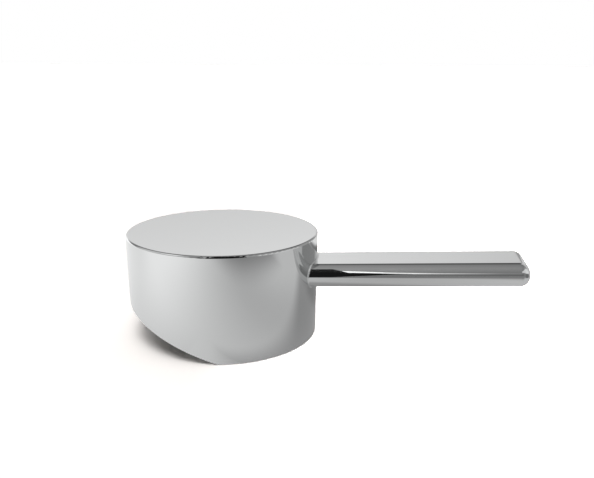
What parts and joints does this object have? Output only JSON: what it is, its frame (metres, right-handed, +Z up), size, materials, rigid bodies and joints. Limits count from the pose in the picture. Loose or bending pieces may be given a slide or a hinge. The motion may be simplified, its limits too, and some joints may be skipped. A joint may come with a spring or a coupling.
{
  "type": "mixer tap handle",
  "caption": "Chrome-plated single-lever mixer tap handle: hollow round cap with a slanted rear rim, slightly rising flat-oval lever, stem socket and clamping grub screw.",
  "frame": {"origin": "on the cap's axis, in the plane of the rim that the handle stands on", "axes": "+Z up along the cap's axis, +X along the lever towards its tip, +Y across the lever"},
  "size_m": [0.0966, 0.047, 0.0256],
  "materials": {
    "chrome_plate": "polished bright chrome plate on a zinc casting",
    "screw_steel": "plain stainless steel, machined"
  },
  "bodies": {
    "root": {"handle_body": "chrome_plate", "grub_screw": "screw_steel"}
  },
  "joints": []
}
